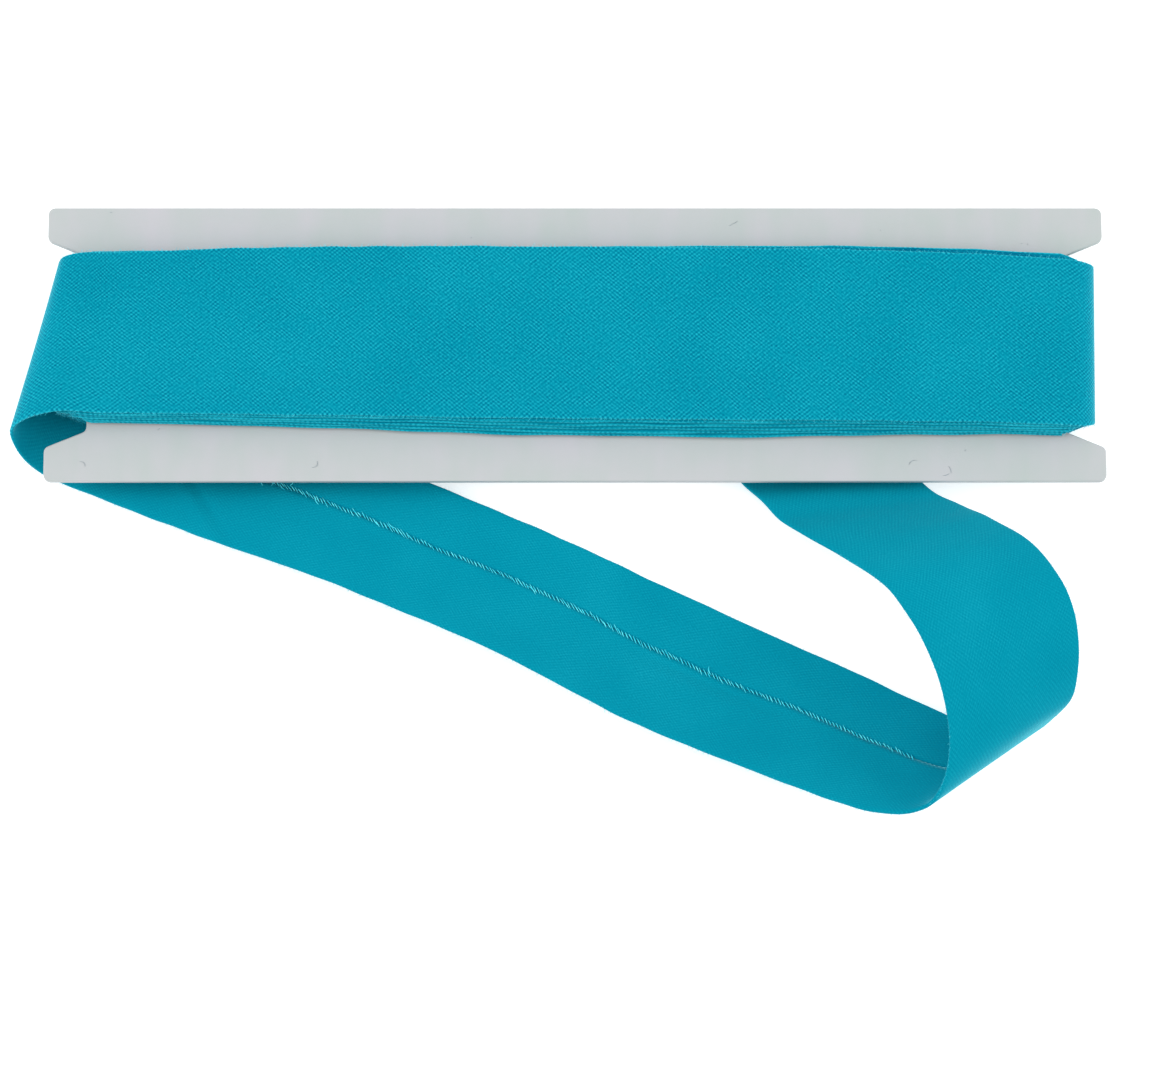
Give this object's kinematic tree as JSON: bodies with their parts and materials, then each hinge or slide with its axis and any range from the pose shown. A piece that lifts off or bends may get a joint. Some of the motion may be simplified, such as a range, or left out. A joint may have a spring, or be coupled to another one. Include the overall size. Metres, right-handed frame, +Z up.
{
  "type": "roll of bias binding",
  "caption": "Folded cotton bias binding wound lengthwise round a flat notched plastic card, its outer turn hanging loose in a curled loop.",
  "frame": {"origin": "middle of the whole part's box, on the table that it lies on", "axes": "+X along the card, +Y up the card's face away from the loose loop, +Z up from the table"},
  "size_m": [0.13, 0.0732, 0.0178],
  "materials": {
    "card": "frosted, slightly translucent polypropylene",
    "wound_cloth": "plain-weave cotton, matt",
    "loose_cloth": "plain-weave cotton, matt"
  },
  "bodies": {
    "root": {"winding_card": "card", "wound_binding": "wound_cloth", "loose_tape": "loose_cloth"}
  },
  "joints": []
}
